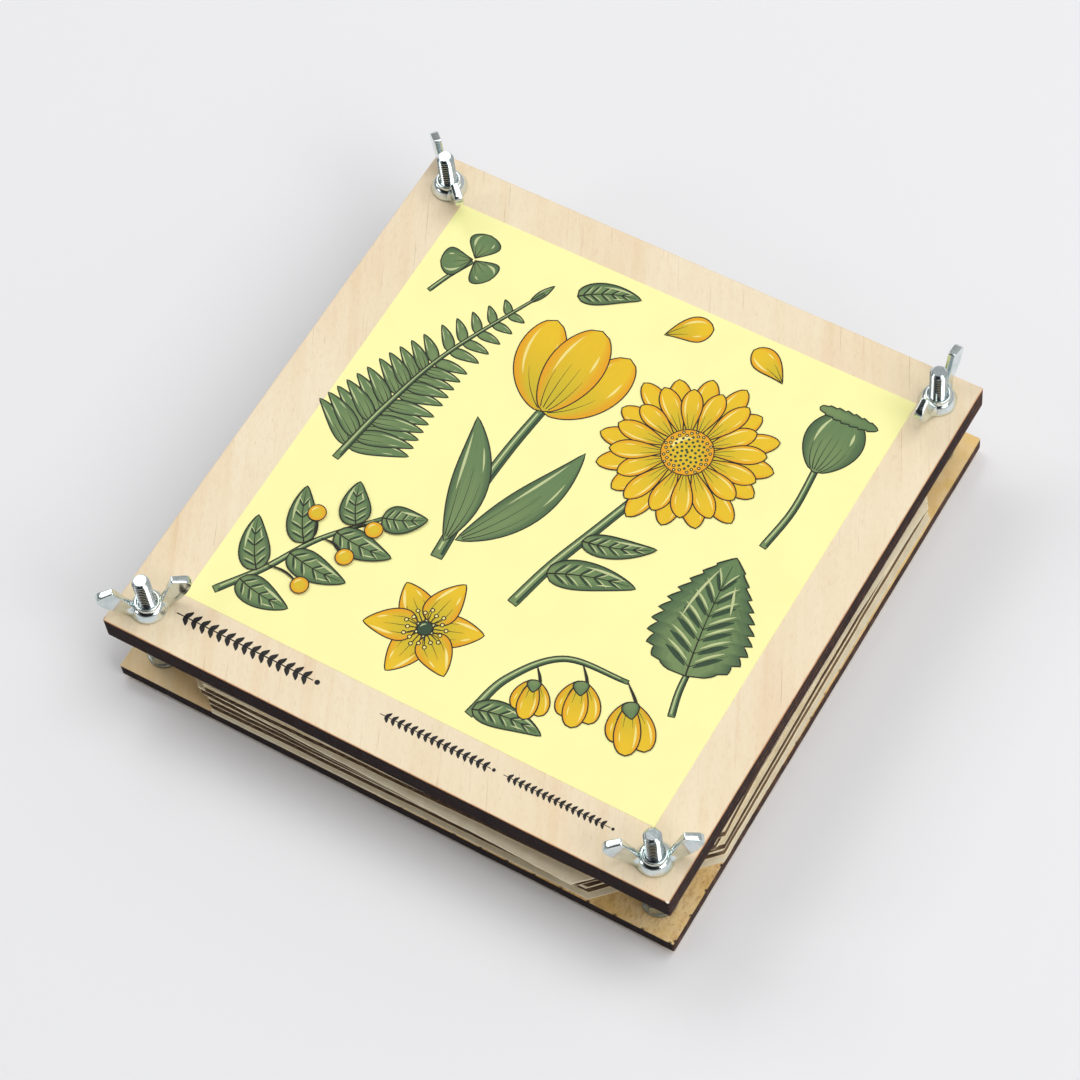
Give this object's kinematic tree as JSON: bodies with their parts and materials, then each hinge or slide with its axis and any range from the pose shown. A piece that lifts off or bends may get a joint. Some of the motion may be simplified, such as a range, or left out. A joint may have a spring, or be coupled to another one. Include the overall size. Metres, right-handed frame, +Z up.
{
  "type": "flower press",
  "caption": "Square flower press: two plywood boards clamp a pile of cut-corner card and blotting paper with corner bolts and wing nuts; yellow botanical print on top.",
  "frame": {"origin": "under the middle of the press, on the surface that its four bolt heads stand on", "axes": "+X to the right along the front edge, the edge with the wider bare strip beside the print; +Y to the back; +Z up"},
  "size_m": [0.2042, 0.2066, 0.0533],
  "materials": {
    "base_board": "laser-cut birch plywood, bare, burnt edges",
    "pressing_board": "laser-cut birch plywood, bare, burnt edges",
    "print": "matt ink, yellow ground with printed plants",
    "zinc_bolts": "bright zinc plate, threaded",
    "zinc_washers": "bright zinc plate",
    "zinc_lock_nuts": "bright zinc plate",
    "zinc_wing_nuts": "bright zinc plate, forged",
    "corrugated_card": "white liners on tan fluting",
    "blotting_paper": "soft, absorbent, uncoated"
  },
  "bodies": {
    "base": {"base_board": "base_board", "coach_bolt_front_left": "zinc_bolts", "coach_bolt_front_right": "zinc_bolts", "coach_bolt_back_right": "zinc_bolts", "coach_bolt_back_left": "zinc_bolts", "washer_front_left": "zinc_washers", "washer_front_right": "zinc_washers", "washer_back_right": "zinc_washers", "washer_back_left": "zinc_washers", "lock_nut_front_left": "zinc_lock_nuts", "lock_nut_front_right": "zinc_lock_nuts", "lock_nut_back_right": "zinc_lock_nuts", "lock_nut_back_left": "zinc_lock_nuts", "card_1": "corrugated_card", "card_2": "corrugated_card", "card_3": "corrugated_card", "card_4": "corrugated_card", "card_5": "corrugated_card", "blotting_sheet_1": "blotting_paper", "blotting_sheet_2": "blotting_paper", "blotting_sheet_3": "blotting_paper", "blotting_sheet_4": "blotting_paper", "blotting_sheet_5": "blotting_paper", "blotting_sheet_6": "blotting_paper", "blotting_sheet_7": "blotting_paper", "blotting_sheet_8": "blotting_paper", "blotting_sheet_9": "blotting_paper", "blotting_sheet_10": "blotting_paper"},
    "pressing": {"pressing_board": "pressing_board", "print_field": "print"},
    "nut_front_left": {"wing_nut_front_left": "zinc_wing_nuts"},
    "nut_front_right": {"wing_nut_front_right": "zinc_wing_nuts"},
    "nut_back_right": {"wing_nut_back_right": "zinc_wing_nuts"},
    "nut_back_left": {"wing_nut_back_left": "zinc_wing_nuts"}
  },
  "joints": [
    {"name": "pressing_board_lift", "type": "slide", "parent": "base", "child": "pressing", "axis": [0, 0, 1], "range_m": [0, 0.00925]},
    {"name": "wing_nut_front_left_turn", "type": "hinge", "parent": "pressing", "child": "nut_front_left", "pos_m": [-0.0895, -0.0895, 0.0366], "axis": [0, 0, 1], "range_deg": [0, 3330]},
    {"name": "wing_nut_front_right_turn", "type": "hinge", "parent": "pressing", "child": "nut_front_right", "pos_m": [0.0895, -0.0895, 0.0366], "axis": [0, 0, 1], "range_deg": [0, 3330]},
    {"name": "wing_nut_back_right_turn", "type": "hinge", "parent": "pressing", "child": "nut_back_right", "pos_m": [0.0895, 0.0895, 0.0366], "axis": [0, 0, 1], "range_deg": [0, 3330]},
    {"name": "wing_nut_back_left_turn", "type": "hinge", "parent": "pressing", "child": "nut_back_left", "pos_m": [-0.0895, 0.0895, 0.0366], "axis": [0, 0, 1], "range_deg": [0, 3330]}
  ],
  "couplings": [
    {"joint": "wing_nut_front_left_turn", "follows": "pressing_board_lift", "rad_per_m": 6283.2},
    {"joint": "wing_nut_front_right_turn", "follows": "pressing_board_lift", "rad_per_m": 6283.2},
    {"joint": "wing_nut_back_right_turn", "follows": "pressing_board_lift", "rad_per_m": 6283.2},
    {"joint": "wing_nut_back_left_turn", "follows": "pressing_board_lift", "rad_per_m": 6283.2}
  ]
}
